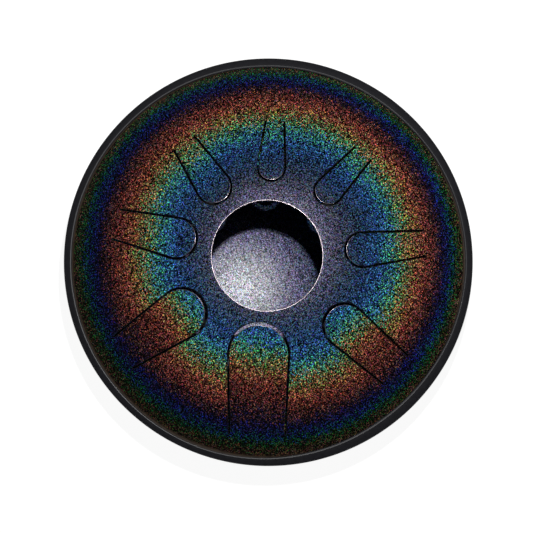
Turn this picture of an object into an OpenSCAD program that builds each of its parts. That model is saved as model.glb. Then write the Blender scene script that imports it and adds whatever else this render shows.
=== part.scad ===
// Steel tongue drum: two domed steel shells joined at their flanges, with eight tongues
// cut in the top one, a rubber trim over the rim, and four bolted rubber feet.
// The drum stands on z = 0 with its axis on Z. The largest tongue is at the front, towards -Y.

/* [Drum] */
// Overall diameter, over the edge trim
drum_d = 305; // [280:1:330]
// Thickness of the steel sheet
sheet_t = 1.8; // [1.4:0.1:2.2]
// Rise of each dome above its flange
dome_rise = 48; // [42:1:54]
// Inside radius of the bend between a dome and its flange
bend_r = 2; // [1:0.5:3]
// Diameter of the sound hole
hole_d = 80; // [64:1:88]
// Height of the lowest point of the bottom shell above the table
table_gap = 5; // [4:0.5:9]

/* [Tongues] */
// Steel left between the sound hole and the slot round the largest tongue's tip
tip_web = 8.3; // [6:0.1:14]
// Width of the largest tongue, just behind its tip
tongue_w = 42.8; // [36:0.1:47]
// Width of the cut round a tongue
slot_w = 1.2; // [0.8:0.1:1.6]
// Gap between a tongue's root and the shell
root_gap = 0.05; // [0.03:0.01:0.08]
// Distance from a tongue's root to the strip that it is bent up in
bend_in = 6; // [4:0.5:10]

/* [Rim] */
// Width of the edge trim, seen from above
trim_w = 6.1; // [5.2:0.1:7.5]
// Wall thickness of the edge trim
trim_t = 1.4; // [1:0.1:1.8]
// Radius of the edge trim's outer corners
trim_round = 1.2; // [0.6:0.1:1.4]
// Radius of the edge trim's inner lips
lip_round = 0.45; // [0.2:0.05:0.48]
// Gap at the butt joint where the edge trim's two ends meet
trim_butt = 0.4; // [0.2:0.1:1]
// Direction of the butt joint, counted from +X
trim_butt_dir = 56; // [0:1:360]
// Clearance between the edge trim and the steel in it
trim_play = 0.05; // [0.03:0.01:0.2]
// How far the weld bead stands out of the flange edges
weld_out = 0.6; // [0.4:0.1:0.9]
// Height of the weld bead
weld_h = 2.2; // [1.6:0.1:2.6]
// Room between the weld bead and the back of the edge trim
weld_room = 0.3; // [0.2:0.1:0.6]

/* [Feet] */
// Distance from the drum's axis to where a foot meets the bottom shell
foot_place_r = 66; // [58:1:76]
// Direction of the first foot, counted from +X
foot_dir = 45; // [0:1:89]
// Diameter of a foot at the shell
foot_top_d = 26; // [22:0.5:30]
// Diameter that a foot would have at the table without its chamfer
foot_low_d = 22; // [18:0.5:26]
// Height of the chamfer round a foot's base
foot_chamfer = 1.5; // [0.6:0.1:2]
// Thickness of the rubber between the shell and the outer washer
foot_pad = 6; // [5:0.5:7]
// Diameter of the recess for the screw head
recess_d = 10.4; // [10:0.1:11.5]

/* [Fasteners] */
// Thread diameter of the foot screws
screw_d = 4; // [3.5:0.1:4.4]
// Length of a foot screw under its head
screw_l = 16; // [15.4:0.1:20]
// Diameter of the screw head
head_d = 8; // [7:0.1:9]
// Height of the screw head
head_h = 2.6; // [2:0.1:3]
// Length of a bar of the cross recess in the screw head
cross_l = 4.4; // [3.6:0.1:5]
// Width of a bar of the cross recess
cross_w = 1; // [0.8:0.1:1.2]
// Depth of the cross recess
cross_h = 1.5; // [1:0.1:1.8]
// Outside diameter of the washers
washer_d = 9; // [8.4:0.1:9.6]
// Thickness of the washers
washer_t = 0.8; // [0.6:0.1:1]
// Width of a lock nut across its flats
nut_w = 7; // [6.6:0.1:8]
// Height of a lock nut's hexagon
nut_h = 3.2; // [2.8:0.1:3.6]
// Diameter of a lock nut's collar
collar_d = 6.2; // [5.6:0.1:6.4]
// Height of a lock nut's collar
collar_h = 1.8; // [1.4:0.1:2]
// Clearance of a screw in the shell, foot and washers, on the diameter
screw_play = 0.4; // [0.2:0.1:0.6]
// Clearance of a screw's thread in its nut, on the diameter
thread_play = 0.1; // [0.06:0.01:0.2]
// Clearance between faces that are pressed together
seat_play = 0.03; // [0.02:0.01:0.1]

/* [Hidden] */
$fn = 96;

// One entry for each tongue: front, front left, front right, left, right, back left,
// back right, back. The angles are counted from +X.
tongue_dirs = [268.4, 211.7, 320.1, 165.1, 7.7, 123.3, 48.9, 85.9];
// Length, root to tip, as a share of tongue_l
length_shares = [1, 0.885, 0.815, 0.78, 0.74, 0.68, 0.617, 0.572];
// Width behind the tip, as a share of tongue_w
width_shares = [1, 0.82, 0.706, 0.666, 0.562, 0.565, 0.455, 0.442];
// Width at the root, as a share of the same tongue's width behind the tip
root_shares = [0.93, 0.74, 0.87, 0.74, 0.73, 0.69, 0.7, 0.64];
// Distance of the root from the drum's axis, as a share of base_r
place_shares = [0.886, 0.873, 0.858, 0.788, 0.797, 0.724, 0.717, 0.693];
// Sideways shift of the tongue, as a share of tongue_w
shift_shares = [-0.098, 0.062, -0.058, 0.097, -0.108, 0.11, -0.055, 0.037];
// Angle that the tongue is bent up by to tune it
lift_angles = [3.7, 3.6, 3, 1, 1, 1, 1, 1];

// Direction of the top shell's seam, between two tongues
seam_dir = (tongue_dirs[4] + tongue_dirs[6]) / 2;
// Room that the bend needs beside the trim, as a share of bend_r
bend_share = 0.4;
// Slope of the chamfer round a foot's base
chamfer_slope = 45;
overrun = 5;
// How far outlines that touch are pushed into each other, so that they join cleanly
nip = 0.01;

trim_r = drum_d / 2;
hole_r = hole_d / 2;
flange_r = trim_r - trim_t - weld_room - weld_out;
base_r = trim_r - trim_w - bend_share * bend_r;
dome_r = (base_r * base_r + dome_rise * dome_rise) / (2 * dome_rise);
inner_r = dome_r - sheet_t;
// Length of the largest tongue, which fills the room between its root and the sound hole
tongue_l = root_radius(0) - hole_r - tip_web - slot_w;
// Height of the plane where the two flanges meet
joint_z = table_gap + dome_rise + sheet_t;
// The dome's centre and the bend's centre, with z = 0 on the flange's outer face
dome_z = dome_rise - dome_r;
bend_z = bend_r;
bend_x = sqrt(pow(dome_r + bend_r, 2) - pow(bend_z - dome_z, 2));

foot_angle = asin(foot_place_r / dome_r);
foot_dirs = [for (i = [0 : 3]) foot_dir + i * 90];
low_centre_z = table_gap + dome_r;
// Length of a foot along its own axis, from the shell to the table
foot_l = low_centre_z / cos(foot_angle) - dome_r;
// Distance of a foot's base from the drum's axis
foot_base_r = low_centre_z * tan(foot_angle);
washer_seat_r = sqrt(pow(inner_r, 2) - pow(washer_d / 2, 2)) - seat_play;
screw_hole_d = screw_d + screw_play;

// Everything under a dome of radius r, with z = 0 on the flange's outer face
module under_dome(r) {
    translate([0, dome_z]) circle(r = r);
}

// The corner between the dome and the flange, outside a bend of radius r
module bend_fill(r) {
    difference() {
        polygon([[0, dome_z], [bend_x, -sheet_t], [bend_x, bend_z]]);
        translate([bend_x, bend_z]) circle(r = r + nip);
    }
}

// Half section of a pressed shell, from in_r outwards, with z = 0 on the flange's outer face
module shell_section(in_r) {
    intersection() {
        difference() {
            union() {
                under_dome(dome_r);
                bend_fill(bend_r);
                translate([0, -sheet_t]) square([flange_r, sheet_t]);
            }
            under_dome(inner_r);
            bend_fill(bend_r + sheet_t);
        }
        translate([in_r, -sheet_t]) square([flange_r - in_r, sheet_t + dome_rise + overrun]);
    }
}

// Everything under a dome of radius r that a straight strip parts in two. The strip starts
// at strip_r, and turns the part inside it up by lift.
module under_lifted(r, lift, strip_r) {
    strip_a = asin(strip_r / dome_r);
    strip_l = dome_r * lift * PI / 180;
    centre = [0, dome_z];
    translate(centre) circle(r = r);
    translate(centre) rotate(-strip_a) translate([-strip_l, 0]) square([strip_l, r - nip]);
    translate(centre + strip_l * [-cos(strip_a), sin(strip_a)]) circle(r = r);
}

// Half section of the dome that a tongue is cut from
module lifted_section(lift, strip_r) {
    intersection() {
        difference() {
            under_lifted(dome_r, lift, strip_r);
            under_lifted(inner_r, lift, strip_r);
        }
        translate([hole_r, 0]) square([base_r - hole_r, dome_rise + 2 * overrun]);
    }
}

// Outline of tongue i from above, its tip towards the drum's axis, grown by grow on every side
module tongue_outline(i, grow, root_r, back) {
    tip_r = tongue_w * width_shares[i] / 2;
    half_root = tip_r * root_shares[i];
    centre = root_radius(i) - tongue_l * length_shares[i] + tip_r + back;
    reach = root_radius(i) - centre;
    side = atan2(half_root, reach) + acos(tip_r / norm([half_root, reach]));
    r = tip_r + grow;
    tangent = [centre + (r - nip) * cos(side), (r - nip) * sin(side)];
    root_y = (r - (root_r - centre) * cos(side)) / sin(side);
    translate([centre, 0]) circle(r = r);
    polygon([[centre, 0], [tangent[0], -tangent[1]], [root_r, -root_y], [root_r, root_y], tangent]);
}

function root_radius(i) = base_r * place_shares[i];
function dome_height(r) = sqrt(dome_r * dome_r - r * r) + dome_z;
// How far bending tongue i up draws its tip back towards the root
function tip_back(i) =
    let (root = root_radius(i), strip_l = dome_r * lift_angles[i] * PI / 180)
    let (pivot = root - bend_in - strip_l / 2, tip = root - tongue_l * length_shares[i])
    (dome_height(tip) - dome_height(pivot)) * sin(lift_angles[i]);

// Moves a flat shape to tongue i's place
module at_tongue(i) {
    rotate(tongue_dirs[i]) translate([0, tongue_w * shift_shares[i]]) children();
}

// Stands its children on a foot's axis, with z counted outwards from the dome's centre
module at_foot(i) {
    rotate([0, 0, foot_dirs[i]]) translate([0, 0, low_centre_z]) rotate([0, 180 - foot_angle, 0])
        children();
}

// Pressed steel dome with the sound hole and eight openings for the tongues
module top_shell() color("#34323c") {
    difference() {
        translate([0, 0, joint_z + sheet_t]) rotate([0, 0, seam_dir]) rotate_extrude()
            shell_section(hole_r);
        for (i = [0 : len(tongue_dirs) - 1])
            translate([0, 0, joint_z + overrun]) linear_extrude(dome_rise + overrun)
                at_tongue(i) tongue_outline(i, slot_w, root_radius(i), 0);
    }
}

// One steel tongue, cut out of the dome and bent up a little from its root
module tongue(i) {
    intersection() {
        translate([0, 0, joint_z + sheet_t]) rotate([0, 0, tongue_dirs[i] + 180])
            rotate_extrude() lifted_section(lift_angles[i], root_radius(i) - bend_in);
        translate([0, 0, joint_z]) linear_extrude(dome_rise + 2 * overrun)
            at_tongue(i) tongue_outline(i, 0, root_radius(i) - root_gap, tip_back(i));
    }
}
module tongue_front() color("#5a4634") tongue(0);
module tongue_front_left() color("#5c4a30") tongue(1);
module tongue_front_right() color("#574a38") tongue(2);
module tongue_left() color("#3f5a48") tongue(3);
module tongue_right() color("#3c5850") tongue(4);
module tongue_back_left() color("#35566a") tongue(5);
module tongue_back_right() color("#365a68") tongue(6);
module tongue_back() color("#345c66") tongue(7);

// Pressed steel dome that closes the drum below, with a hole for each foot's screw
module bottom_shell() color("#3a3842") {
    difference() {
        translate([0, 0, joint_z - sheet_t]) mirror([0, 0, 1]) rotate_extrude() shell_section(0);
        for (i = [0 : 3])
            at_foot(i) translate([0, 0, inner_r - overrun])
                cylinder(d = screw_hole_d, h = sheet_t + 2 * overrun);
    }
}

// Weld bead that runs round the edges of the two flanges
module rim_weld() color("#8c8a86") {
    // the bead is round, and its centre lies inside the flange edges
    bead_r = (weld_out * weld_out + weld_h * weld_h / 4) / (2 * weld_out);
    translate([0, 0, joint_z]) rotate_extrude() intersection() {
        translate([flange_r + weld_out - bead_r, 0]) circle(r = bead_r);
        translate([flange_r, -weld_h]) square([weld_h, 2 * weld_h]);
    }
}

// What rounds off a corner at p by r. The corner points up and to the right, before turn.
module corner_cut(p, r, turn) {
    translate(p) rotate(turn) difference() {
        translate([-r, -r]) square(2 * r);
        translate([-r, -r]) circle(r = r + nip);
    }
}

// Rubber channel pushed over the rim, cut to length and closed with a butt joint
module edge_trim() color("#232227") {
    half_slot = sheet_t + trim_play;
    half_h = half_slot + trim_t;
    lip_x = trim_r - trim_w;
    difference() {
        translate([0, 0, joint_z]) rotate_extrude() difference() {
            translate([lip_x, -half_h]) square([trim_w, 2 * half_h]);
            translate([lip_x - overrun, -half_slot])
                square([trim_w + overrun - trim_t, 2 * half_slot]);
            corner_cut([trim_r, half_h], trim_round, 0);
            corner_cut([trim_r, -half_h], trim_round, -90);
            corner_cut([lip_x, half_h], lip_round, 90);
            corner_cut([lip_x, half_slot], lip_round, 180);
            corner_cut([lip_x, -half_slot], lip_round, 90);
            corner_cut([lip_x, -half_h], lip_round, 180);
        }
        rotate([0, 0, trim_butt_dir]) translate([0, -trim_butt / 2, joint_z - half_h - overrun])
            cube([trim_r + overrun, trim_butt, 2 * (half_h + overrun)]);
    }
}

// One rubber foot: a tapered pad square to the shell, cut level at the table
module foot(i) {
    // the cone goes on past the table at the same taper
    past = foot_low_d;
    low_r = foot_low_d / 2 - (foot_top_d - foot_low_d) / 2 * past / foot_l;
    reach = foot_low_d / 2 / cos(foot_angle) - foot_chamfer * tan(chamfer_slope);
    tall = 2 * foot_l;
    difference() {
        intersection() {
            at_foot(i) translate([0, 0, dome_r - overrun]) {
                cylinder(r = foot_top_d / 2, h = overrun);
                translate([0, 0, overrun])
                    cylinder(r1 = foot_top_d / 2, r2 = low_r, h = foot_l + past);
            }
            rotate([0, 0, foot_dirs[i]]) translate([foot_base_r, 0, 0])
                cylinder(r1 = reach, r2 = reach + tall * tan(chamfer_slope), h = tall);
        }
        translate([0, 0, low_centre_z]) sphere(r = dome_r + seat_play);
        at_foot(i) translate([0, 0, dome_r - overrun])
            cylinder(d = screw_hole_d, h = foot_l + 2 * overrun);
        at_foot(i) translate([0, 0, dome_r + foot_pad])
            cylinder(d = recess_d, h = foot_l + overrun);
    }
}
module foot_back_right() color("#1d1d20") foot(0);
module foot_back_left() color("#1d1d20") foot(1);
module foot_front_left() color("#1d1d20") foot(2);
module foot_front_right() color("#1d1d20") foot(3);

// Screws that hold the feet, with their heads in the feet's recesses
module foot_screws() color("#b4b6ba") {
    head_z = dome_r + foot_pad + seat_play + washer_t + seat_play;
    for (i = [0 : 3])
        at_foot(i) difference() {
            union() {
                translate([0, 0, head_z - screw_l]) cylinder(d = screw_d, h = screw_l);
                translate([0, 0, head_z]) cylinder(d = head_d, h = head_h);
            }
            for (turn = [0, 90])
                rotate([0, 0, turn]) translate([-cross_l / 2, -cross_w / 2, head_z + head_h - cross_h])
                    cube([cross_l, cross_w, cross_h + overrun]);
        }
}

// A flat washer standing on z = 0
module washer() {
    difference() {
        cylinder(d = washer_d, h = washer_t);
        translate([0, 0, -overrun]) cylinder(d = screw_hole_d, h = washer_t + 2 * overrun);
    }
}

// Washers between the screw heads and the rubber
module foot_washers() color("#a9abb0")
    for (i = [0 : 3]) at_foot(i) translate([0, 0, dome_r + foot_pad + seat_play]) washer();

// Washers between the lock nuts and the inside of the bottom shell
module inner_washers() color("#a9abb0")
    for (i = [0 : 3]) at_foot(i) translate([0, 0, washer_seat_r - washer_t]) washer();

// Lock nuts inside the drum, each with a collar
module lock_nuts() color("#bcbec2") {
    nut_z = washer_seat_r - washer_t - seat_play;
    for (i = [0 : 3])
        at_foot(i) difference() {
            union() {
                translate([0, 0, nut_z - nut_h]) cylinder(d = nut_w / cos(30), h = nut_h, $fn = 6);
                translate([0, 0, nut_z - nut_h - collar_h]) cylinder(d = collar_d, h = collar_h);
            }
            translate([0, 0, nut_z - nut_h - collar_h - overrun])
                cylinder(d = screw_d + thread_play, h = nut_h + collar_h + 2 * overrun);
        }
}

top_shell();
tongue_front();
tongue_front_left();
tongue_front_right();
tongue_left();
tongue_right();
tongue_back_left();
tongue_back_right();
tongue_back();
bottom_shell();
rim_weld();
edge_trim();
foot_front_left();
foot_front_right();
foot_back_left();
foot_back_right();
foot_screws();
foot_washers();
inner_washers();
lock_nuts();
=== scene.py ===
"""Dresses the frame of a steel tongue drum: lacquered shells and tongues, rubber trim and feet, bright
fasteners. Also sets the floor, the lamp and the camera."""

from functools import partial
from math import acos, asin, atan2, ceil, cos, hypot, pi, radians, sin, sqrt, tau

import bpy
import numpy as np
from bpy.props import FloatProperty, FloatVectorProperty, PointerProperty
from bpy.types import Operator, Panel, PropertyGroup
from mathutils import Matrix, Vector, geometry


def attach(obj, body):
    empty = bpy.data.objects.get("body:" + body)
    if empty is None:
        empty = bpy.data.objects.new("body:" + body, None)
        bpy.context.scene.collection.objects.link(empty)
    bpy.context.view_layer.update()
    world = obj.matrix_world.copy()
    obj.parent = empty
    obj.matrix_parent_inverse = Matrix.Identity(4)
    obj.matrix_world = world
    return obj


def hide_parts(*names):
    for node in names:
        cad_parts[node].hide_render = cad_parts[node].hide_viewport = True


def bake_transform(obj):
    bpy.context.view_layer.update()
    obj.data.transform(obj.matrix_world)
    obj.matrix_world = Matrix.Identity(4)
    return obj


bl_info = {
    "name": "Steel Tongue Drum",
    "version": (1, 0, 0),
    "blender": (4, 5, 0),
    "location": "3D View > Sidebar > Tongue Drum",
    "description": "Builds the visible pieces and finishes of a steel tongue drum around its frame",
    "category": "Object",
}

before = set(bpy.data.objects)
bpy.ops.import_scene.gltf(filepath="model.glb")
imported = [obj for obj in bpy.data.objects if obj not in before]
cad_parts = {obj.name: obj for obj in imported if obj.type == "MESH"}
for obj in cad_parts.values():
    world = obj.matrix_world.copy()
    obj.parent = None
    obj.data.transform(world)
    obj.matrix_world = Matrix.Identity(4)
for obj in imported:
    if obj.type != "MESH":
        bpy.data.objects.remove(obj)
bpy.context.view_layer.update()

MM = 0.001
UP = np.array([0.0, 0.0, 1.0])

# Each tongue: its name, its direction from +X in degrees, then as shares its length of the longest
# tongue's, its width of the widest one's, its root's width of its own, its root's distance from the
# axis of the dome's radius and its shift sideways of the widest width, and last its lift in degrees
TONGUES = (
    ("front", 268.4, 1.0, 1.0, 0.93, 0.886, -0.098, 3.7),
    ("front_left", 211.7, 0.885, 0.82, 0.74, 0.873, 0.062, 3.6),
    ("front_right", 320.1, 0.815, 0.706, 0.87, 0.858, -0.058, 3.0),
    ("left", 165.1, 0.78, 0.666, 0.74, 0.788, 0.097, 1.0),
    ("right", 7.7, 0.74, 0.562, 0.73, 0.797, -0.108, 1.0),
    ("back_left", 123.3, 0.68, 0.565, 0.69, 0.724, 0.11, 1.0),
    ("back_right", 48.9, 0.617, 0.455, 0.7, 0.717, -0.055, 1.0),
    ("back", 85.9, 0.572, 0.442, 0.64, 0.693, 0.037, 1.0),
)


# Settings


def number(name, description, default, **more):
    """A number setting that is never negative."""
    return FloatProperty(name=name, description=description, default=default, min=0, **more)


def length(name, description, millimetres):
    """A length setting, given in millimetres and kept in metres."""
    return number(name, description, millimetres * MM, unit="LENGTH", subtype="DISTANCE")


def angle(name, description, degrees):
    """An angle setting, given in degrees and kept in radians."""
    return number(name, description, radians(degrees), unit="ROTATION", subtype="ANGLE")


def several(name, description, default, **more):
    """A setting with two parts or more."""
    size = len(default)
    return FloatVectorProperty(name=name, description=description, default=default, size=size, **more)


def paint(name, description, code):
    """A colour setting, given as an sRGB hex value."""
    return several(name, description, linear(code), subtype="COLOR", min=0, max=1)


def linear(code):
    """The linear colour of an sRGB hex value such as #3a2b1c."""
    parts = [int(code[i : i + 2], 16) / 255 for i in (1, 3, 5)]
    return tuple(c / 12.92 if c <= 0.04045 else ((c + 0.055) / 1.055) ** 2.4 for c in parts)


class ShellSizes(PropertyGroup):
    """Sizes of the two pressed shells and of the tongues."""

    drum_d: length("Overall diameter", "Diameter over the edge trim", 305)
    sheet: length("Sheet", "Thickness of the steel sheet", 1.8)
    rise: length("Dome rise", "Rise of each dome above its flange", 48)
    bend: length("Bend", "Inside radius between a dome and its flange", 2)
    hole_d: length("Sound hole", "Diameter of the sound hole", 80)
    table_gap: length("Table gap", "Height of the bottom shell above the table", 5)
    trim_w: length("Trim width", "Width of the trim seen from above", 6.1)
    flange_in: length("Flange set back", "From the trim's outside to the flange's edge", 2.3)
    slot: length("Slot", "Width of the cut round a tongue", 1.2)
    tip_web: length("Tip web", "Steel between hole and longest slot", 8.3)
    tongue_w: length("Tongue width", "Width of the widest tongue", 42.8)
    bend_in: length("Bend place", "From a tongue's root to its bend", 6)
    shell_edge: length("Shell edges", "Radius of the top shell's lacquered edges", 0.5)
    edge: length("Tongue edges", "Radius of the tongues' lacquered edges", 0.3)
    skin: length("Skin", "Thickness of the lacquer in the slots", 0.1)
    screw_hole: length("Screw hole", "Diameter of a foot's screw hole", 4.4)
    foot_place: length("Foot place", "From the axis to where a foot meets the shell", 66)
    step: length("Mesh step", "Distance between the shells' mesh points", 3.2)


class TrimSizes(PropertyGroup):
    """Sizes of the rubber edge trim."""

    wall: length("Wall", "Thickness of the trim's walls", 1.4)
    outer_round: length("Outer rounding", "Radius of the trim's outer corners", 1.4)
    play: length("Play", "Gap between the trim's lips and the flanges", 0.05)
    crown_out: angle("Outer slope", "Crown's slope at its outer end, down and out", 24)
    crown_in: angle("Crown's end", "Crown's slope at its inner end, down and out", 13)
    knee_r: length("Knee", "Radius of the turn from the crown to the lip", 0.35)
    lip_out: angle("Lip's start", "Lip's slope at the knee, down and in", 7)
    lip_in: angle("Lip's end", "Lip's slope at its inner end, down and in", 15)
    lip_r: length("Lip", "Radius of the lip's face", 4.5)
    wave: length("Wave", "How far the upper lip wanders round the rim", 0.8)
    butt: length("Butt joint", "Gap where the two ends of the trim meet", 0.15)
    butt_turn: angle("Butt joint direction", "Direction counted from +X", 56)


class LacquerLook(PropertyGroup):
    """Holographic glitter lacquer, whose rings of colour are painted reflection of the key lamp."""

    flake: length("Flake", "Size of a glitter flake as drawn", 0.52)
    hue_spread: number("Hue spread", "How far a flake strays from the sheet's slope, as a sine", 0.08)
    steep_spread: number("Steep spread", "Hue spread near the rim as a share of the whole", 0.5)
    own_hue: number("Own hue", "How much of its ring's colour a flake may lack", 0.6)
    centre_hue: number("Centre hue", "Own hue in the silver centre, as a share", 0.45)
    contrast: number("Contrast", "How unevenly the flakes are bright in the rings", 5.6)
    calm: number("Calm centre", "Contrast in the silver centre, as a share", 0.2)
    # Painted reflection: the leans place the silver centre, the key lamp's painted reflection, on the sheet
    lean: several("Lean", "Lean of the silver centre's direction to +X and +Y, as sines", (0.0, 0.022))
    lean_slope: several("Lean by slope", "Change of the lean with the sheet's slope", (0.156, 0.081))
    lean_square: several("Lean by square", "Change of the lean with the slope squared", (-0.266, -0.179))
    # Painted light: the gains make the lacquer's colour brighter on one side, as the lamp would
    level_gain: several("Level gain", "Extra light towards +X and +Y on nearly level sheet", (-0.4, -1.1))
    steep_gain: several("Steep gain", "Extra light towards +X and +Y on the steepest sheet", (0.4, 0.37))
    # Inside the drum the silver centre is a painted highlight of the key lamp on the bottom shell: inner_lean
    # places it and inner_gain paints the inside faces brighter
    inner_lean: several("Inner lean", "Lean for the faces inside the drum, as sines", (0.09, 0.0745))
    inner_gain: number("Inner gain", "Light from the faces inside, as a share", 1.24)
    inner_turn: number("Inner turn", "How fast the colour turns inside", 0.857)
    # Painted shade: the shells are dark at the bend under the trim's lip, where shade falls
    flange_and_bend_shade: paint("Flange lacquer", "Colour at the bend and on the flanges", "#2f261e")
    # Painted shade: the slots' edges are painted black, as the shade in the slots
    slot_shade_coat: paint("Edge lacquer", "Colour over the edges of the slots", "#0b0b0e")


class PartsLook(PropertyGroup):
    """Rubber and steel."""

    trim_color: paint("Trim colour", "Colour of the extruded rubber", "#17171b")
    foot_color: paint("Foot colour", "Colour of the moulded rubber", "#242426")
    edge_color: paint("Edge colour", "Colour of the steel at the rubbed edges", "#a0959a")
    zinc_color: paint("Zinc colour", "Colour of the zinc plating", "#c4c7cc")
    weld_color: paint("Weld colour", "Colour of the weld bead", "#8f8a84")


class StageSettings(PropertyGroup):
    """Floor, lamp and camera."""

    floor_color: paint("Floor colour", "Colour of the floor", "#f4f4f4")
    floor_size: length("Floor size", "Side of the square floor", 8000)
    floor_drop: length("Floor drop", "Gap that keeps the feet clear of the floor", 0.05)
    key_power: number("Key power", "Power of the key lamp", 11.9, unit="POWER")
    key_size: length("Key size", "Diameter of the key lamp", 48)
    key_place: several("Key place", "Place from the rim's middle", (0.076, 0.192, 1.15), unit="LENGTH")
    room_light: number("Room light", "Strength of the light from all round", 0.03)
    camera_far: length("Camera distance", "From the camera to the rim's middle", 1500)
    lens: number("Lens", "Focal length in millimetres", 135.8, unit="CAMERA")


# Shapes


# Room that a shell's bend needs beside the trim, as a share of its inside radius
BEND_ROOM = 0.4
# Radius of the sheet at a tongue's bend, as a share of the dome's
BEND_REACH = 2.0


class Dome:
    """Height and slope of a pressed dome, or of a tongue that is bent up out of it, about the drum's axis."""

    def __init__(self, sizes, side=1, lift=0.0, root=0.0):
        self.sheet, self.side = sizes.sheet, side
        self.base = sizes.drum_d / 2 - sizes.trim_w - BEND_ROOM * sizes.bend
        self.radius = (self.base**2 + sizes.rise**2) / (2 * sizes.rise)
        self.joint = sizes.table_gap + sizes.rise + sizes.sheet
        self.flange = self.joint + side * sizes.sheet
        self.centre = self.flange + side * (sizes.rise - self.radius)
        # the tongue's lift angle is shared out along its bend, which runs in from outer_a to inner_a
        self.spare = (BEND_REACH - 1) * self.radius
        self.outer_a = asin((root - sizes.bend_in) / self.radius) if lift else 0.0
        self.inner_a = self.outer_a - lift / (BEND_REACH - 1)

    def slope(self, r, depth):
        """Angle between the face's normal and the axis, and the face's height above the dome's centre, at the
        distances r from the axis. depth is how deep in the sheet the face lies."""
        radius = self.radius - depth
        outer, inner = (np.array([sin(a), cos(a)]) for a in (self.outer_a, self.inner_a))
        # the centres of the arcs from the rim to the bend, along the bend and from there to the tip
        centres = np.array([(0.0, 0.0), -self.spare * outer, self.spare * (inner - outer)])
        zone = (r < radius * outer[0]).astype(int) + (r < centres[2, 0] + radius * inner[0])
        arc = np.where(zone == 1, radius + self.spare, radius)
        angle = np.arcsin(np.clip((r - centres[zone, 0]) / arc, -1, 1))
        return angle, centres[zone, 1] + arc * np.cos(angle)

    def normal(self, xy):
        """Outward normals of the outer face at xy."""
        r = np.maximum(np.hypot(*xy.T), 1e-9)
        angle = self.slope(r, 0.0)[0]
        flat = (np.sin(angle) / r)[:, None] * xy
        return np.column_stack([flat, self.side * np.cos(angle)])

    def point(self, xy, share):
        """Points in the sheet over xy, a share of its thickness in from the outer face."""
        r = np.hypot(*xy.T)
        top, low = (self.centre + self.side * self.slope(r, depth)[1] for depth in (0.0, self.sheet))
        return np.column_stack([xy, top + (low - top) * share])


def spokes_at(angles):
    """Level unit vectors in the given directions."""
    return np.column_stack([np.cos(angles), np.sin(angles), np.zeros(len(angles))])


def along(start, end, step):
    """Points from start up to but not with end, a step or less apart."""
    start, end = np.array(start, float), np.array(end, float)
    count = max(1, ceil(np.linalg.norm(end - start) / step))
    return start + (end - start) * (np.arange(count) / count)[:, None]


# Longest step round a tongue's tip, as a share of its radius
TIP_STEP = 0.09


class Outline:
    """Plan of a tongue in its own axes, with its root on +X and its round tip towards the drum's axis."""

    def __init__(self, sizes, dome, row):
        name, self.direction, long, wide, root, place, shift, lift = row
        longest = dome.base * TONGUES[0][5] - sizes.hole_d / 2 - sizes.tip_web - sizes.slot
        self.root = dome.base * place
        self.shift = sizes.tongue_w * shift
        self.tip_r = sizes.tongue_w * wide / 2
        self.half_root = self.tip_r * root
        self.length = longest * long
        self.lift = radians(lift)
        pivot = self.root - sizes.bend_in - dome.radius * self.lift
        heights = dome.slope(np.array([self.root - self.length, pivot]), 0.0)[1]
        self.back = (heights[0] - heights[1]) * sin(self.lift)

    def corners(self, grow, back):
        """Tip centre, tip radius, angle of the straight sides' tangent and half width at the root, of an
        outline that lies grow outside the tongue's, with its tip pulled back to the root."""
        centre = self.root - self.length + self.tip_r + back
        reach = self.root - centre
        side = atan2(self.half_root, reach)
        side += acos(self.tip_r / hypot(self.half_root, reach))
        r = self.tip_r + grow
        half = (r - reach * cos(side)) / sin(side)
        return centre, r, side, half

    def path(self, grow, back, step):
        """Points from the root along one side, round the tip and back along the other side."""
        centre, r, side, half = self.corners(grow, back)
        tangent = np.array([centre + r * cos(side), r * sin(side)])
        turn = 2 * (pi - side)
        count = ceil(turn * r / min(step, TIP_STEP * r))
        angles = side + turn * np.arange(count + 1) / count
        arc = np.column_stack([centre + r * np.cos(angles), r * np.sin(angles)])
        there = along((self.root, half), tangent, step)
        back_again = along(tangent * (1, -1), (self.root, -half), step)[1:]
        return np.vstack([there, arc, back_again])

    def turned(self, xy):
        """Moves points from the tongue's own axes to the drum's."""
        c, s = cos(radians(self.direction)), sin(radians(self.direction))
        x, y = xy[:, 0], xy[:, 1] + self.shift
        return np.column_stack([c * x - s * y, s * x + c * y])


def closed_normals(loop):
    """For each point of a closed loop, the unit normal to its left."""
    run = np.roll(loop, -1, 0) - np.roll(loop, 1, 0)
    left = np.column_stack([-run[:, 1], run[:, 0]])
    return left / np.linalg.norm(left, axis=1)[:, None]


def inside(points, loop):
    """Whether each point lies inside a closed loop."""
    x, y = points[:, 0][:, None], points[:, 1][:, None]
    x0, y0 = loop[:, 0], loop[:, 1]
    x1, y1 = np.roll(x0, -1), np.roll(y0, -1)
    span = np.where(y1 == y0, 1e-12, y1 - y0)
    crossed = ((y0 > y) != (y1 > y)) & (x < (x1 - x0) * (y - y0) / span + x0)
    return crossed.sum(1) % 2 == 1


# Distance below which two points count as the same
NEAR = 1e-6


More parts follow.
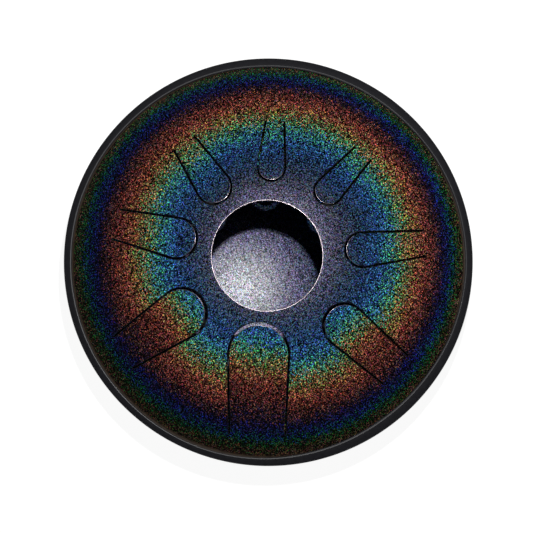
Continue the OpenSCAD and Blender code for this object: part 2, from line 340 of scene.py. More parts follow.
def triangles(outer, holes, spare):
    """Triangles that fill outer but not holes, with corners on the loops and on the spare points."""
    loops = [outer, *holes]
    points = np.vstack([*loops, spare])
    edges, start = [], 0
    for loop in loops:
        count = len(loop)
        edges += [(start + i, start + (i + 1) % count) for i in range(count)]
        start += count
    # the 0 asks for every triangle, and origin gives the points that each corner comes from
    corners = [Vector(p) for p in points / MM]
    _, _, faces, origin, _, _ = geometry.delaunay_2d_cdt(corners, edges, [], 0, NEAR)
    first = [o[0] for o in origin]
    faces = np.array([[first[i] for i in f] for f in faces])
    centres = points[faces].mean(1)
    keep = inside(centres, outer)
    for hole in holes:
        keep &= ~inside(centres, hole)
    faces = faces[keep]
    a, b, c = (points[faces[:, k]] for k in range(3))
    area = (b - a)[:, 0] * (c - a)[:, 1] - (b - a)[:, 1] * (c - a)[:, 0]
    faces[area < 0] = faces[area < 0][:, ::-1]
    return points, faces


def clear_of(points, loops, gap):
    """The points that are at least gap away from every loop's points."""
    for loop in loops:
        far = ((points[:, None] - loop[None]) ** 2).sum(2).min(1)
        points = points[far > gap**2]
    return points


def ring_points(inner, outer, step):
    """Points on rings about the axis, a step apart."""
    rows = []
    for k, r in enumerate(np.arange(inner, outer, step)):
        count = max(1, round(tau * r / step))
        angles = tau * (np.arange(count) + 0.5 * (k % 2)) / count
        rows.append(r * spokes_at(angles)[:, :2])
    return np.vstack(rows)


def put(name, data):
    """Puts a new object in the scene."""
    made = bpy.data.objects.new(name, data)
    bpy.context.scene.collection.objects.link(made)
    return made


class Builder:
    """Gathers the points, faces and normals of one closed mesh."""

    def __init__(self):
        self.points, self.normals, self.faces, self.marks = [], [], [], []
        self.count = 0

    def add(self, points, normals):
        """Adds points and returns their numbers."""
        normals = normals / np.linalg.norm(normals, axis=1)[:, None]
        self.points.append(points)
        self.normals.append(normals)
        numbers = np.arange(self.count, self.count + len(points))
        self.count += len(points)
        return numbers

    def face(self, corners, mark):
        """Adds faces from rows of point numbers. mark is their finish, or one finish for each."""
        self.faces += [tuple(int(i) for i in row) for row in corners]
        self.marks += np.broadcast_to(mark, len(corners)).tolist()

    def band(self, upper, lower, mark, closed=True):
        """Joins two rows of points by a band of four-sided faces."""
        after = np.roll(np.arange(len(upper)), -1)
        rows = np.column_stack([upper, lower, lower[after], upper[after]])
        self.face(rows if closed else rows[:-1], mark)

    def make(self, name, materials, flip=False):
        """Makes the object, in metres, with the given materials in its slots."""
        faces = [f[::-1] for f in self.faces] if flip else self.faces
        mesh = bpy.data.meshes.new(name)
        mesh.from_pydata(np.vstack(self.points).tolist(), [], faces)
        mesh.polygons.foreach_set("use_smooth", [True] * len(faces))
        mesh.polygons.foreach_set("material_index", self.marks)
        for material in materials:
            mesh.materials.append(material)
        mesh.normals_split_custom_set_from_vertices(np.vstack(self.normals).tolist())
        mesh.update()
        return put(name, mesh)


# Numbers of a shell's finishes, in the order in which lacquers() gives them
OUTSIDE, INSIDE, FLANGE_AND_BEND_SHADE, BRIGHT, SLOT_SHADE = range(5)
# Faces across each rounding of a cut edge, and how many at the outside have the edge's own finish
EDGE_STEPS, MARKED_STEPS = 5, 3


def cut_edge(build, dome, loop, round_r, mark, top, low):
    """Rounds and closes the sheet along a cut, between the border points of its two faces."""
    # from the cut into the steel
    lean = closed_normals(loop)
    surface = dome.normal(loop)
    wall = np.column_stack([-lean, np.zeros(len(lean))])
    rings = [top]
    for sign, steps in ((1, range(1, EDGE_STEPS + 1)), (-1, range(EDGE_STEPS, 0, -1))):
        for k in steps:
            a = pi / 2 * k / EDGE_STEPS
            xy = loop + lean * (round_r * (1 - sin(a)))[:, None]
            depth = round_r * (1 - cos(a)) / dome.sheet
            points = dome.point(xy, depth if sign > 0 else 1 - depth)
            rings.append(build.add(points, sign * surface * cos(a) + wall * sin(a)))
    rings.append(low)
    last = len(rings) - 2
    for k, (upper, lower) in enumerate(zip(rings, rings[1:])):
        build.band(upper, lower, mark if k < MARKED_STEPS else OUTSIDE if k < last else INSIDE)


def sheet_piece(name, dome, outer, holes, spare, materials, rim=None):
    """A closed piece of sheet. outer and holes are (loop, edge radius for each point, finish of the edge),
    with the steel on each loop's left. rim, if given, closes the outer loop instead of a cut edge."""
    build = Builder()
    inset = []
    for loop, round_r, _ in (outer, *holes):
        inset.append(loop + closed_normals(loop) * round_r[:, None])
    points, faces = triangles(inset[0], inset[1:], spare)
    surface = dome.normal(points)
    top = build.add(dome.point(points, 0.0), surface)
    low = build.add(dome.point(points, 1.0), -surface)
    build.face(top[faces], OUTSIDE)
    build.face(low[faces][:, ::-1], INSIDE)
    start = 0
    for k, (loop, round_r, mark) in enumerate((outer, *holes)):
        span = slice(start, start + len(loop))
        if k == 0 and rim is not None:
            rim(build, top[span], low[span])
        else:
            cut_edge(build, dome, loop, round_r, mark, top[span], low[span])
        start += len(loop)
    return build.make(name, materials, flip=dome.side < 0)


# Steps of the bend between a dome and its flange
BEND_STEPS = 5


def flange_rim(sizes, dome):
    """The bend and the flange at the edge of a shell. Returns the dome's border and a function that closes
    the sheet there."""
    bend = sizes.bend
    centre_z = sizes.rise - dome.radius
    bend_x = sqrt((dome.radius + bend) ** 2 - (bend - centre_z) ** 2)
    lean = asin(bend_x / (dome.radius + bend))
    outer_bend = bend + sizes.sheet
    border = bend_x - outer_bend * sin(lean)
    edge = sizes.drum_d / 2 - sizes.flange_in
    nose = sizes.sheet / 4
    # the section from the dome's outer face round to its inner one: distance, height and the normal's angle
    profile = []
    for k in range(BEND_STEPS + 1):
        a = lean * (1 - k / BEND_STEPS)
        profile.append((bend_x - bend * sin(a), bend - bend * cos(a), a))
    profile += [(edge - nose, 0.0, 0.0), (edge, -nose, pi / 2)]
    profile += [(edge, nose - sizes.sheet, pi / 2), (edge - nose, -sizes.sheet, pi)]
    for k in range(BEND_STEPS):
        a = lean * k / BEND_STEPS
        profile.append((bend_x - outer_bend * sin(a), bend - outer_bend * cos(a), a + pi))
    count = round(tau * dome.base / sizes.step)
    spokes = spokes_at(tau * np.arange(count) / count)

    def close(build, top, low):
        """Adds the bend and the flange between the border points of the dome's two faces."""
        rings = [top]
        for r, z, a in profile:
            points = spokes * r + UP * (dome.flange + dome.side * z)
            rings.append(build.add(points, spokes * sin(a) + UP * dome.side * cos(a)))
        rings.append(low)
        # the bend and the flange get the dark lacquer, painted shade under the trim's lip
        for k, (upper, lower) in enumerate(zip(rings, rings[1:])):
            build.band(upper, lower, OUTSIDE if k < 1 else FLANGE_AND_BEND_SHADE if k < len(rings) // 2 else INSIDE)

    return spokes[:, :2] * border, close


def even(loop, radius, mark=OUTSIDE):
    """A loop with the same edge radius at every point, and its finish."""
    return loop, np.full(len(loop), radius), mark


# Radius of an edge that looks sharp, such as where a tongue's root runs on into the shell
NO_EDGE = 0.01 * MM
# Radius of the corners at a slot's ends, as a share of the slot, and the turns of the points round them
CORNER = 0.4
CORNER_TURNS = (0.4, 0.8, 1.2, 1.57)
# Where a tongue's rubbed edge starts, from its tip's centre, as a share of the tip's radius
RUBBED_FROM = 0.4


def tongue_opening(sizes, outline, step):
    """The opening round a tongue in the drum's axes, clockwise: the slot with its square ends, and between
    them the root, where the steel runs on."""
    path = outline.path(sizes.slot - sizes.skin, 0.0, step)
    half_slot = outline.corners(sizes.slot - sizes.skin, 0.0)[3]
    half_root = outline.corners(sizes.skin, outline.back)[3]
    corner = sizes.slot * CORNER
    root = outline.root
    low = [(root - corner * (1 - sin(a)), -half_slot + corner * (1 - cos(a))) for a in CORNER_TURNS]
    line = along((root, -half_root), (root, half_root), step)
    high = [(x, -y) for x, y in reversed(low)]
    keep = path[:, 0] < root - corner
    loop = np.vstack([path[keep], low, line, [(root, half_root)], high])
    # the edge is rounded along the slot and sharp along the root
    off_root = np.clip((np.abs(loop[:, 1]) - half_root) / corner, 0, 1)
    free = np.where(loop[:, 0] < root - NEAR, 1.0, off_root)
    radius = NO_EDGE + (sizes.shell_edge - NO_EDGE) * free
    # the slot's edge is black, painted shade of the slot
    return outline.turned(loop)[::-1], radius[::-1], SLOT_SHADE


def tongue_border(sizes, outline, step):
    """A tongue's own border in the drum's axes, with no rounding at the root."""
    path = outline.path(sizes.skin, outline.back, step)
    half = outline.corners(sizes.skin, outline.back)[3]
    loop = np.vstack([path, along((outline.root, -half), (outline.root, half), step)])
    free = np.clip((outline.root - loop[:, 0]) / (2 * sizes.edge), 0, 1)
    radius = NO_EDGE + (sizes.edge - NO_EDGE) * free
    centre, tip_r = outline.corners(0.0, outline.back)[:2]
    # the lacquer is rubbed thin over the tip's edge, and the rest of the edge is black, painted shade of the
    # slot
    mark = np.where(loop[:, 0] < centre - RUBBED_FROM * tip_r, BRIGHT, SLOT_SHADE)
    return outline.turned(loop), radius, mark


def circle(centre, radius, count):
    """A circle's points, clockwise, so that the steel round the hole lies on their left."""
    return np.array(centre) + radius * spokes_at(-tau * np.arange(count) / count)[:, :2]


# Least gap of a shell's spare points to its border, and to any loop's points as a share of the mesh step
BORDER_GAP = 2 * MM
LOOP_GAP = 0.5


def pressed_shell(name, sizes, dome, inner, holes, materials):
    """A shell with a flange and holes, whose spare points start at the distance inner from the axis."""
    border, close = flange_rim(sizes, dome)
    spare = ring_points(inner, hypot(*border[0]) - BORDER_GAP, sizes.step)
    for loop, _, _ in holes:
        spare = spare[~inside(spare, loop)]
    spare = clear_of(spare, [border, *(hole[0] for hole in holes)], sizes.step * LOOP_GAP)
    return sheet_piece(name, dome, even(border, 0.0), holes, spare, materials, close)


# Finishes


# Kinds of node used often
MATH, VECTORS = "ShaderNodeMath", "ShaderNodeVectorMath"
RANGE, NOISE, PLACE = "ShaderNodeMapRange", "ShaderNodeTexNoise", "ShaderNodeTexCoord"
WHITE = (1.0, 1.0, 1.0, 1.0)
# The part of a noise's range that holds most of its values
MOST_NOISE = (0.3, 0.7)


def feed(node, inputs):
    """Gives a node's sockets, by name or in order, a value, an output or a node's first output each."""
    for key, value in inputs.items() if isinstance(inputs, dict) else enumerate(inputs):
        if isinstance(value, bpy.types.Node):
            value = value.outputs[0]
        if isinstance(value, bpy.types.NodeSocket):
            node.id_data.links.new(value, node.inputs[key])
        else:
            node.inputs[key].default_value = value


def add_node(tree, kind, inputs=(), operation=None):
    """Adds one node with its inputs, and its operation if it has one."""
    node = tree.nodes.new(kind)
    if operation:
        node.operation = operation
    feed(node, inputs)
    return node


def finish(name, make, **values):
    """The material of that name, made once. make gives it nodes, through add, that feed its shader."""
    material = bpy.data.materials.get(name)
    if material is None:
        material = bpy.data.materials.new(name)
        material.use_nodes = True
        material.node_tree.nodes.clear()
        add = partial(add_node, material.node_tree)
        shader = add("ShaderNodeBsdfPrincipled")
        add("ShaderNodeOutputMaterial", {"Surface": shader})
        make(add, shader, **values)
    return material


# Painted reflection: the lacquer's colour against the sine of the angle between the sheet and the silver
# centre's direction. The rings and their silver centre are the key lamp's reflection, split into colours and
# painted by slope
PAINTED_RAINBOW = (
    (0.0, "#cdced6"), (0.06, "#adaeb8"), (0.09, "#94959f"), (0.112, "#7d7e8a"),
    (0.1375, "#6d698d"), (0.18, "#42444f"), (0.225, "#303a53"), (0.27, "#1d3850"),
    (0.3, "#203661"), (0.335, "#284e82"), (0.3625, "#2e745e"), (0.385, "#316840"),
    (0.4075, "#6b5e31"), (0.4225, "#7a5138"), (0.4525, "#612a23"), (0.4825, "#512c29"),
    (0.505, "#1b1415"), (0.5275, "#100d2e"), (0.5425, "#0c1352"), (0.5575, "#092e21"),
    (0.5725, "#03340f"), (0.5875, "#36211c"), (0.61, "#33281c"),
)
# Sines of the slope between which the flakes come to lie truer, and the side with painted light changes
TRUER = (0.4, 0.55)
GAIN_TURNS = (0.15, 0.57)
# Shares of the rainbow, out from silver, between which flakes grow uneven, and get hues of their own
UNEVEN = (0.15, 0.65)
OWN_HUES = (0.15, 0.35)


def glitter_painted_reflection(add, shader, look, lean, turn_scale, gain, coat):
    """Holographic glitter lacquer, sprayed over black under a clear coat: tiny embossed film flakes that
    throw each colour of the rainbow at its own slope, so the eye sees rings of separate sparks on black.
    The rings, their silver centre and the flakes' flashes are painted reflection of the key lamp, fixed to
    the slope.

    lean is how far off the middle the rings lie on level sheet, then its changes with the slope and with the
    slope squared. turn_scale is how fast the colour turns with the slope. gain is the painted extra light
    towards
    +X and +Y on level and on steep sheet, and the painted light all round. coat is the clear coat's weight."""
    where = add(PLACE).outputs
    flat = add(VECTORS, [where["Normal"], (1.0, 1.0, 0.0)], "MULTIPLY")
    steep = add(VECTORS, [flat], "LENGTH").outputs["Value"]
    start, by_slope, by_square = ((*part, 0.0) for part in lean)
    curve = add(VECTORS, [steep, by_square, by_slope], "MULTIPLY_ADD")
    lean_there = add(VECTORS, [steep, curve, start], "MULTIPLY_ADD")
    off = add(VECTORS, [flat, lean_there], "SUBTRACT")
    slope = add(VECTORS, [off], "LENGTH").outputs["Value"]
    # real flakes are 0.1 to 0.2 mm wide, too fine to show, so each stands for a clump of them
    grid = {"Vector": where["Object"], "Scale": 1 / look.flake}
    flakes = add("ShaderNodeTexVoronoi", grid).outputs
    chance = add("ShaderNodeSeparateColor", [flakes["Color"]]).outputs
    # each flake lies a little off the sheet's slope, the less the steeper the sheet
    stray = (look.hue_spread, look.hue_spread * look.steep_spread)
    spread = add(RANGE, [slope, *TRUER, *stray])
    centred = add(MATH, [chance["Red"], 0.5], "SUBTRACT")
    strayed = add(MATH, [centred, spread], "MULTIPLY")
    phase = add(MATH, [slope, turn_scale, strayed], "MULTIPLY_ADD")
    end = PAINTED_RAINBOW[-1][0]
    share = add(MATH, [phase, 1 / end], "MULTIPLY")
    ramp = add("ShaderNodeValToRGB", [share])
    stops = ramp.color_ramp.elements
    # the ramp starts with two stops
    for k, (place, code) in enumerate(PAINTED_RAINBOW):
        stop = stops[k] if k < 2 else stops.new(1.0)
        stop.position = place / end
        stop.color = (*linear(code), 1.0)
    # painted glints: a few flakes face the eye and flash, and most stay dim, the more so the farther from the
    # silver centre
    power = add(RANGE, [share, *UNEVEN, look.contrast * look.calm, look.contrast])
    flash = add(MATH, [chance["Green"], power], "POWER")
    # power + 1 times as bright, a flash keeps the flakes' mean light the same
    peak = add(MATH, [power, 1.0], "ADD")
    # painted light: steep sheet flashes more on the lamp's side, and nearly level sheet on the other
    level_gain, steep_gain, base_gain = gain
    growth = add(RANGE, [steep, *GAIN_TURNS])
    change = [b - a for a, b in zip(level_gain, steep_gain)]
    vectors = [growth, (*change, 0.0), (*level_gain, 0.0)]
    toward = add(VECTORS, vectors, "MULTIPLY_ADD")
    side = add(VECTORS, [where["Normal"], toward], "DOT_PRODUCT")
    side_gain = add(MATH, [side.outputs["Value"], base_gain], "ADD")
    lit = add(MATH, [side_gain, peak], "MULTIPLY")
    bright = add(MATH, [flash, lit], "MULTIPLY")
    # each flake throws only a part of the rainbow, the more so outside the silver centre
    part = add("ShaderNodeTexWhiteNoise", {"Vector": flakes["Position"]}).outputs["Color"]
    around = add(VECTORS, [part, (0.5, 0.5, 0.5)], "SUBTRACT")
    swings = (2 * look.own_hue * look.centre_hue, 2 * look.own_hue)
    vivid = add(RANGE, [share, *OWN_HUES, *swings])
    swing = add(VECTORS, {0: around, "Scale": vivid}, "SCALE")
    tint = add(VECTORS, [swing, (1.0, 1.0, 1.0)], "ADD")
    hue = add(VECTORS, [ramp, tint], "MULTIPLY")
    color = add(VECTORS, {0: hue, "Scale": bright}, "SCALE")
    feed(shader, {"Base Color": color, "Roughness": 0.5, "IOR": 1.5, "Specular IOR Level": 0.0})
    feed(shader, {"Coat Weight": coat, "Coat Roughness": 0.12, "Coat IOR": 1.5})


def uneven(add, color, noise, low, high):
    """The colour, darkened and lightened by a noise, between two shares."""
    tone = add(RANGE, [noise, *MOST_NOISE, low, high])
    return add(VECTORS, {0: tuple(color), "Scale": tone}, "SCALE")


# Width of the humps of the lacquer's orange peel
PEEL = 2.5 * MM


def black_lacquer(add, shader, color):
    """Black lacquer, sprayed, without flakes or clear coat: a satin dark that is faintly uneven. It paints
    shade at the shells' bends under the trim's lip and on the slots' edges.
    """
    where = add(PLACE).outputs["Object"]
    peel = add(NOISE, {"Vector": where, "Scale": 1 / PEEL, "Detail": 1.0})
    shade = uneven(add, color, peel, 0.75, 1.3)
    relief = add("ShaderNodeBump", {"Height": peel, "Strength": 0.2, "Distance": 0.02 * MM})
    feed(shader, {"Base Color": shade, "Normal": relief})
    feed(shader, {"Roughness": 0.5, "IOR": 1.5, "Specular IOR Level": 0.1})


# Size of the dust's patches on rubber, in grains
DUST_PATCH = 6


def rubber(add, shader, color, roughness, grain, specular, skin):
    """Black rubber, extruded or moulded: a soft grey gleam over a fine dusty grain. skin is the weight of the
    smooth skin that extruding leaves."""
    where = add(PLACE).outputs["Object"]
    patches = {"Vector": where, "Scale": 1 / (DUST_PATCH * grain), "Detail": 3.0, "Roughness": 0.6}
    dust = add(NOISE, patches)
    shade = uneven(add, color, dust, 0.8, 1.25)
    fine = add(NOISE, {"Vector": where, "Scale": 1 / grain, "Detail": 2.0})
    relief = add("ShaderNodeBump", {"Height": fine, "Strength": 0.25, "Distance": 0.05 * MM})
    gloss = add(RANGE, [dust, *MOST_NOISE, roughness - 0.05, roughness + 0.07])
    feed(shader, {"Base Color": shade, "Roughness": gloss, "Normal": relief})
    feed(shader, {"IOR": 1.5, "Specular IOR Level": specular})
    feed(shader, {"Coat Weight": skin, "Coat Roughness": 0.33, "Coat IOR": 1.5})


def clouded_steel(add, shader, color, roughness, grain):
    """Steel, zinc plated, ground or rubbed bare: a cool, slightly clouded metal with faint tool marks."""
    where = add(PLACE).outputs["Object"]
    cloud = add(NOISE, {"Vector": where, "Scale": 1 / grain, "Detail": 4.0})
    shade = uneven(add, color, cloud, 0.85, 1.08)
    gloss = add(RANGE, [cloud, *MOST_NOISE, roughness - 0.08, roughness + 0.1])
    relief = add("ShaderNodeBump", {"Height": cloud, "Strength": 0.2, "Distance": 0.05 * MM})
    feed(shader, {"Base Color": shade, "Roughness": gloss, "Normal": relief, "Metallic": 1.0})


def dress(node, material):
    """Gives a CAD node's object one material."""
    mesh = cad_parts[node].data
    mesh.materials.clear()
    mesh.materials.append(material)


def lacquers(scene, outside="glitter_painted_reflection", coat=1.0):
    """The finishes of a shell's parts, in the order of their numbers. coat is the outside clear coat."""
    look, none = scene.drum_lacquer, (0.0, 0.0)
    # inside the drum the silver centre is a painted highlight of the key lamp, with its own lean and painted
    # light
    leans, inner_leans = (look.lean, look.lean_slope, look.lean_square), (look.inner_lean, none, none)
    gains, inner_gains = (look.level_gain, look.steep_gain, 1.0), (none, none, look.inner_gain)
    outer = {"lean": leans, "turn_scale": 1.0, "gain": gains, "coat": coat}
    inner = {"lean": inner_leans, "turn_scale": look.inner_turn, "gain": inner_gains, "coat": 0.0}
    # the lacquer is rubbed thin at the sound hole's edge and the tongues' tips, where the steel gleams
    rubbed = {"color": scene.drum_parts.edge_color, "roughness": 0.3, "grain": 4 * MM}
    return [
        finish(outside, glitter_painted_reflection, look=look, **outer),
        finish("glitter_lacquer_inside", glitter_painted_reflection, look=look, **inner),
        # painted shade: the bend under the trim's lip is dark
        finish("bend_lacquer_painted_shade", black_lacquer, color=look.flange_and_bend_shade),
        finish("bright_cut_edge", clouded_steel, **rubbed),
        # painted shade: the slots' edges are black so that the slots read as dark, shaded lines
        finish("slot_edge_painted_shade", black_lacquer, color=look.slot_shade_coat),
    ]


# Pieces


# Points round the sound hole and round a screw hole
HOLE_POINTS, SCREW_POINTS = 168, 20
# Radius of the lacquer over a screw hole's edge, as a share of the tongue edges'
SCREW_EDGE = 0.4
# Clear sheet between the sound hole and a shell's first spare points
HOLE_GAP = 2 * MM
# Step of the points along the slots and round the trim, as a share of the mesh step
FINE_STEP = 0.8


class DRUM_OT_top_shell(Operator):
    """Builds the lacquered top shell with its sound hole and its tongue openings"""

    bl_idname = "drum.top_shell"
    bl_label = "Top Shell"

    def execute(self, context):
        sizes = context.scene.drum_shell
        dome = Dome(sizes)
        holes = [even(circle((0, 0), sizes.hole_d / 2, HOLE_POINTS), sizes.shell_edge, BRIGHT)]
        for row in TONGUES:
            holes.append(tongue_opening(sizes, Outline(sizes, dome, row), sizes.step * FINE_STEP))
        start = sizes.hole_d / 2 + HOLE_GAP
        piece = pressed_shell("painted_top_shell", sizes, dome, start, holes, lacquers(context.scene))
        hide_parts("top_shell")
        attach(piece, "drum")
        return {"FINISHED"}


# Rows of points on either side of a tongue's middle, and as shares of the mesh step their distance, the
# shift of every other row and the least gap to the border
TONGUE_ROWS = 40
ROW_STEP, ROW_SHIFT, ROW_GAP = 0.9, 0.45, 0.45
# Distance from the root to a second point along a tongue's middle, as a share of its length
BLEND_SHARE = 0.3


class DRUM_OT_tongues(Operator):
    """Builds the eight tongues, each running on from the shell at its root"""

    bl_idname = "drum.tongues"
    bl_label = "Tongues"

    def execute(self, context):
        sizes = context.scene.drum_shell
        step = sizes.step
        materials = lacquers(context.scene)
        for row in TONGUES:
            outline = Outline(sizes, Dome(sizes), row)
            dome = Dome(sizes, lift=outline.lift, root=outline.root)
            outer = tongue_border(sizes, outline, step * FINE_STEP)
            border = outer[0]
            middle = outline.root - outline.length / 2
            grid = np.arange(-TONGUE_ROWS, TONGUE_ROWS + 1) * step * ROW_STEP
            spare = [(middle + x + ROW_SHIFT * step * (k % 2), y) for k, y in enumerate(grid) for x in grid]
            spare = outline.turned(np.array(spare))
            spare = clear_of(spare[inside(spare, border)], [border], step * ROW_GAP)
            name = row[0]
            piece = sheet_piece(f"painted_tongue_{name}", dome, outer, [], spare, materials)
            ends = np.array([[outline.root, 0.0], [outline.root - outline.length * BLEND_SHARE, 0.0]])
            start, end = dome.point(outline.turned(ends), 0.5)
            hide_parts(f"tongue_{name}")
            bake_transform(piece)
        return {"FINISHED"}


class DRUM_OT_bottom_shell(Operator):
    """Builds the lacquered bottom shell with its screw holes"""

    bl_idname = "drum.bottom_shell"
    bl_label = "Bottom Shell"

    def execute(self, context):
        sizes = context.scene.drum_shell
        dome = Dome(sizes, side=-1)
        holes = []
        for k in range(4):
            turn = radians(45 + 90 * k)
            # the hole is square to the sheet, so at the sheet's middle it lies nearer the axis
            place = (dome.radius - sizes.sheet / 2) / dome.radius * sizes.foot_place
            centre = place * np.array([cos(turn), sin(turn)])
            loop = circle(centre, sizes.screw_hole / 2, SCREW_POINTS)
            holes.append(even(loop, sizes.edge * SCREW_EDGE))
        # the side that faces the table gets only a thin clear coat
        materials = lacquers(context.scene, "glitter_lacquer_underside", 0.4)
        piece = pressed_shell("painted_bottom_shell", sizes, dome, 0.0, holes, materials)
        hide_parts("bottom_shell")
        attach(piece, "drum")
        return {"FINISHED"}


# Steps of each arc of the trim's section
ARC_STEPS = 5


def lip_section(trim, outer, slot, width):
    """Points and normals of the upper half of the trim's section, from its middle outside to the lip's
    underside: a straight side, then arcs. The side's height and the radii of the crown and of the lip's end
    are found so that the trim has its width and its wall and ends on the flange."""
    up = pi / 2
    slopes = (-trim.crown_out, -trim.crown_in, 0.0, trim.lip_out, trim.lip_in)
    turns = (0.0, *(up + slope for slope in slopes), pi, 3 * up)

    def radii(crown, end):
        """The arcs' radii, from the outside in."""
        return (trim.outer_round, crown, trim.knee_r, trim.knee_r, trim.lip_r, end, end)

    def joints(side, crown, end):
        """Where the arcs start, and where the last one ends."""
        x, z = outer, side
        found = [(x, z)]
        for r, first, last in zip(radii(crown, end), turns, turns[1:]):
            x += r * (cos(last) - cos(first))
            z += r * (sin(last) - sin(first))
            found.append((x, z))
        return found

    def misses(*unknown):
        """By how much the wall, the width and the height of the end are missed."""
        found = joints(*unknown)
        wall, across = found[3][1] - slot - trim.wall, found[6][0] - outer + width
        return np.array([wall, across, found[7][1] - slot])

    # the misses grow evenly with the unknowns, so one solving finds them
    base = misses(0.0, 0.0, 0.0)
    growth = np.column_stack([misses(*row) - base for row in np.eye(3)])
    side, crown, end = np.linalg.solve(growth, -base)
    section = [(outer, 0.0, 1.0, 0.0)]
    for (x, z), r, first, last in zip(joints(side, crown, end), radii(crown, end), turns, turns[1:]):
        for a in first + (last - first) * np.arange(ARC_STEPS) / ARC_STEPS:
            c, s = cos(a), sin(a)
            section.append((x + r * (c - cos(first)), z + r * (s - sin(first)), c, s))
    section.append((*joints(side, crown, end)[-1], 0.0, -1.0))
    return section


# The upper lip's waves: how many run round the rim, their share and the direction of their crest in degrees
LIP_WAVES = ((1, 0.79, 24), (2, 0.68, -139), (3, 0.91, -162), (4, 0.37, 155), (8, 0.1, 30), (17, 0.06, 140))
LIP_MEAN = 0.68


def lip_wave(angles):
    """How far in the trim's upper lip lies at each direction, as a share. It creeps as it is pushed on."""
    return LIP_MEAN + sum(share * np.cos(n * angles - radians(turn)) for n, share, turn in LIP_WAVES)


class DRUM_OT_edge_trim(Operator):
    """Builds the rubber channel over the rim, with its crowned lips and butt joint"""

    bl_idname = "drum.edge_trim"
    bl_label = "Edge Trim"

    def execute(self, context):
        sizes, trim = context.scene.drum_shell, context.scene.drum_trim
        joint = Dome(sizes).joint
        outer, slot = sizes.drum_d / 2, sizes.sheet + trim.play
        upper = lip_section(trim, outer, slot, sizes.trim_w)
        # the inner corner of the channel, whose normal is halfway between its two sides'
        upper.append((outer - trim.wall, slot, -0.7, -0.7))
        section = np.array(upper + [(x, -z, nx, -nz) for x, z, nx, nz in upper[:0:-1]])

        half_gap = trim.butt / 2 / outer
        count = round(tau * outer / (FINE_STEP * sizes.step))
        angles = trim.butt_turn + np.linspace(half_gap, tau - half_gap, count)
        creep = trim.wave * lip_wave(angles)
        spokes = spokes_at(angles)
        build = Builder()
        rows = []
        for x, z, nx, nz in section:
            # only the upper lip wanders, the more so the nearer its edge
            share = ((outer - x) / sizes.trim_w) ** 2 if z > 0 else 0.0
            r = (x - share * creep)[:, None]
            rows.append(build.add(spokes * r + UP * (joint + z), spokes * nx + UP * nz))
        for k, row in enumerate(rows):
            build.band(rows[(k + 1) % len(rows)], row, 0, closed=False)
        build.face([[row[0] for row in rows]], 0)
        build.face([[row[-1] for row in rows[::-1]]], 0)
        color = context.scene.drum_parts.trim_color
        skinned = {"color": color, "roughness": 0.6, "grain": 0.5 * MM, "specular": 0.15, "skin": 0.18}
        piece = build.make("rubber_edge_trim", [finish("extruded_rubber", rubber, **skinned)])
        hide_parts("edge_trim")
        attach(piece, "drum")
        return {"FINISHED"}


class DRUM_OT_small_parts(Operator):
    """Finishes the weld bead, the feet and their fasteners"""

    bl_idname = "drum.small_parts"
    bl_label = "Feet, Fasteners and Weld"

    def execute(self, context):
        look = context.scene.drum_parts
        dull = {"color": look.foot_color, "roughness": 0.6, "grain": 0.35 * MM, "specular": 0.5, "skin": 0.0}
        plated = {"color": look.zinc_color, "roughness": 0.28, "grain": 1.5 * MM}
        ground = {"color": look.weld_color, "roughness": 0.45, "grain": 0.8 * MM}
        feet = finish("moulded_rubber", rubber, **dull)
        zinc = finish("zinc_plated_steel", clouded_steel, **plated)
        for side in ("front_left", "front_right", "back_left", "back_right"):
            dress(f"foot_{side}", feet)
        for node in ("foot_screws", "foot_washers", "inner_washers", "lock_nuts"):
            dress(node, zinc)
        dress("rim_weld", finish("ground_weld_steel", clouded_steel, **ground))
        return {"FINISHED"}


# Heights, as sines, between which the white sweep round the drum gives way to the dark ceiling
SWEEP_TOP = (0.05, 0.15)
# Share of the floor that the camera sees as lit sweep, and that sweep's strength
GLOW_SHARE, GLOW = 0.75, 1.25
# Degrees by which the camera stands east and south of straight above the rim's middle
CAMERA_EAST, CAMERA_SOUTH = 0.85, 4.65
# Width of the camera's sensor in millimetres and of the picture in pixels
SENSOR, PICTURE = 36.0, 533
# Pixels by which the drum stands right of and above the picture's middle
DRUM_RIGHT, DRUM_ABOVE = 1.5, 5.8


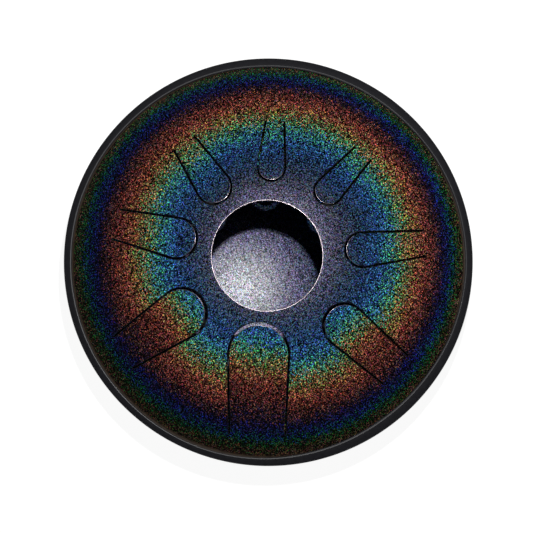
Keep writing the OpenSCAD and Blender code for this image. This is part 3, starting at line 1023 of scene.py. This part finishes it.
class DRUM_OT_stage(Operator):
    """Sets the floor, the lamp, the room's light and the camera"""

    bl_idname = "drum.stage"
    bl_label = "Stage"

    def execute(self, context):
        scene = context.scene
        stage = scene.drum_stage
        middle = Vector((0.0, 0.0, Dome(scene.drum_shell).joint))

        half, low = stage.floor_size / 2, -stage.floor_drop
        corners = [(x * half, y * half, low) for x, y in ((-1, -1), (1, -1), (1, 1), (-1, 1))]
        mesh = bpy.data.meshes.new("floor")
        mesh.from_pydata(corners, [], [(0, 1, 2, 3)])
        mesh.materials.append(finish("matt_white_floor", self.floor_paint, color=stage.floor_color))
        floor = put("floor", mesh)

        light = bpy.data.lights.new("key_lamp", "AREA")
        light.shape, light.size, light.energy = "DISK", stage.key_size, stage.key_power
        lamp = put("key_lamp", light)
        lamp.location = middle + Vector(stage.key_place)
        lamp.rotation_euler = (lamp.location - middle).to_track_quat("Z", "Y").to_euler()

        world = bpy.data.worlds.new("studio")
        scene.world = world
        world.use_nodes = True
        world.node_tree.nodes.clear()
        add = partial(add_node, world.node_tree)
        # the white sweep stands all round the drum, under a dark ceiling
        where = add(PLACE).outputs["Generated"]
        height = add("ShaderNodeSeparateXYZ", [where]).outputs["Z"]
        sweep = add(RANGE, [height, *SWEEP_TOP, 1.0, 0.0])
        white = add("ShaderNodeBackground", {"Color": WHITE, "Strength": 1.0})
        room = add("ShaderNodeBackground", {"Color": WHITE, "Strength": stage.room_light})
        both = add("ShaderNodeMixShader", [self.seen(add, sweep), room, white])
        add("ShaderNodeOutputWorld", {"Surface": both})

        lens = bpy.data.cameras.new("camera")
        lens.lens = stage.lens
        lens.sensor_width = SENSOR
        camera = put("camera", lens)
        east, south = sin(radians(CAMERA_EAST)), -sin(radians(CAMERA_SOUTH))
        back = Vector((east, south, sqrt(1 - east**2 - south**2)))
        right = Vector((0, 1, 0)).cross(back).normalized()
        turn = Matrix((right, back.cross(right), back)).transposed()
        pixel = SENSOR / PICTURE / stage.lens
        aim = Matrix.Rotation(-DRUM_ABOVE * pixel, 3, "X") @ Matrix.Rotation(DRUM_RIGHT * pixel, 3, "Y")
        camera.matrix_world = Matrix.Translation(middle + stage.camera_far * back) @ (turn @ aim).to_4x4()
        scene.camera = camera
        scene.view_settings.view_transform = "Standard"
        return {"FINISHED"}

    def seen(self, add, mirrored):
        """1 where the camera looks, and the share mirrored where gloss or glass shows the background."""
        rays = add("ShaderNodeLightPath").outputs
        bounced = [rays["Is Glossy Ray"], rays["Is Transmission Ray"]]
        glossy = add(MATH, bounced, "ADD")
        shown = add(MATH, [glossy, mirrored], "MULTIPLY")
        return add(MATH, [rays["Is Camera Ray"], shown], "MAXIMUM")

    def floor_paint(self, add, shader, color):
        """Matt white floor paint, which the camera sees as a lit white sweep that keeps the drum's shadow."""
        out = shader.outputs[0].links[0].to_node
        feed(shader, {"Base Color": (*color, 1.0), "Roughness": 0.9})
        glow = add("ShaderNodeEmission", {"Color": WHITE, "Strength": GLOW})
        share = add(MATH, [self.seen(add, 1.0), GLOW_SHARE], "MULTIPLY")
        feed(out, {"Surface": add("ShaderNodeMixShader", [share, shader, glow])})


PIECES = (
    DRUM_OT_top_shell,
    DRUM_OT_tongues,
    DRUM_OT_bottom_shell,
    DRUM_OT_edge_trim,
    DRUM_OT_small_parts,
    DRUM_OT_stage,
)


class DRUM_PT_sidebar(Panel):
    """Lists the drum's settings and pieces"""

    bl_idname = "DRUM_PT_sidebar"
    bl_label = "Steel Tongue Drum"
    bl_space_type = "VIEW_3D"
    bl_region_type = "UI"
    bl_category = "Tongue Drum"

    def draw(self, context):
        for title, group in SETTINGS.items():
            box = self.layout.box()
            box.label(text=title.replace("_", " ").capitalize())
            settings = getattr(context.scene, title)
            for name in group.__annotations__:
                box.prop(settings, name)
        for piece in PIECES:
            self.layout.operator(piece.bl_idname)


SETTINGS = {
    "drum_shell": ShellSizes,
    "drum_trim": TrimSizes,
    "drum_lacquer": LacquerLook,
    "drum_parts": PartsLook,
    "drum_stage": StageSettings,
}


CLASSES = (*SETTINGS.values(), *PIECES, DRUM_PT_sidebar)


def register():
    """Adds the settings, the operators and the panel to Blender."""
    for part in CLASSES:
        bpy.utils.register_class(part)
    for title, group in SETTINGS.items():
        setattr(bpy.types.Scene, title, PointerProperty(type=group))


def unregister():
    """Takes them out again."""
    for title in SETTINGS:
        delattr(bpy.types.Scene, title)
    for part in reversed(CLASSES):
        bpy.utils.unregister_class(part)


def main():
    """Builds every piece and the stage."""
    register()
    bpy.ops.drum.top_shell()
    bpy.ops.drum.tongues()
    bpy.ops.drum.bottom_shell()
    bpy.ops.drum.edge_trim()
    bpy.ops.drum.small_parts()
    bpy.ops.drum.stage()


if __name__ == "__main__":
    main()
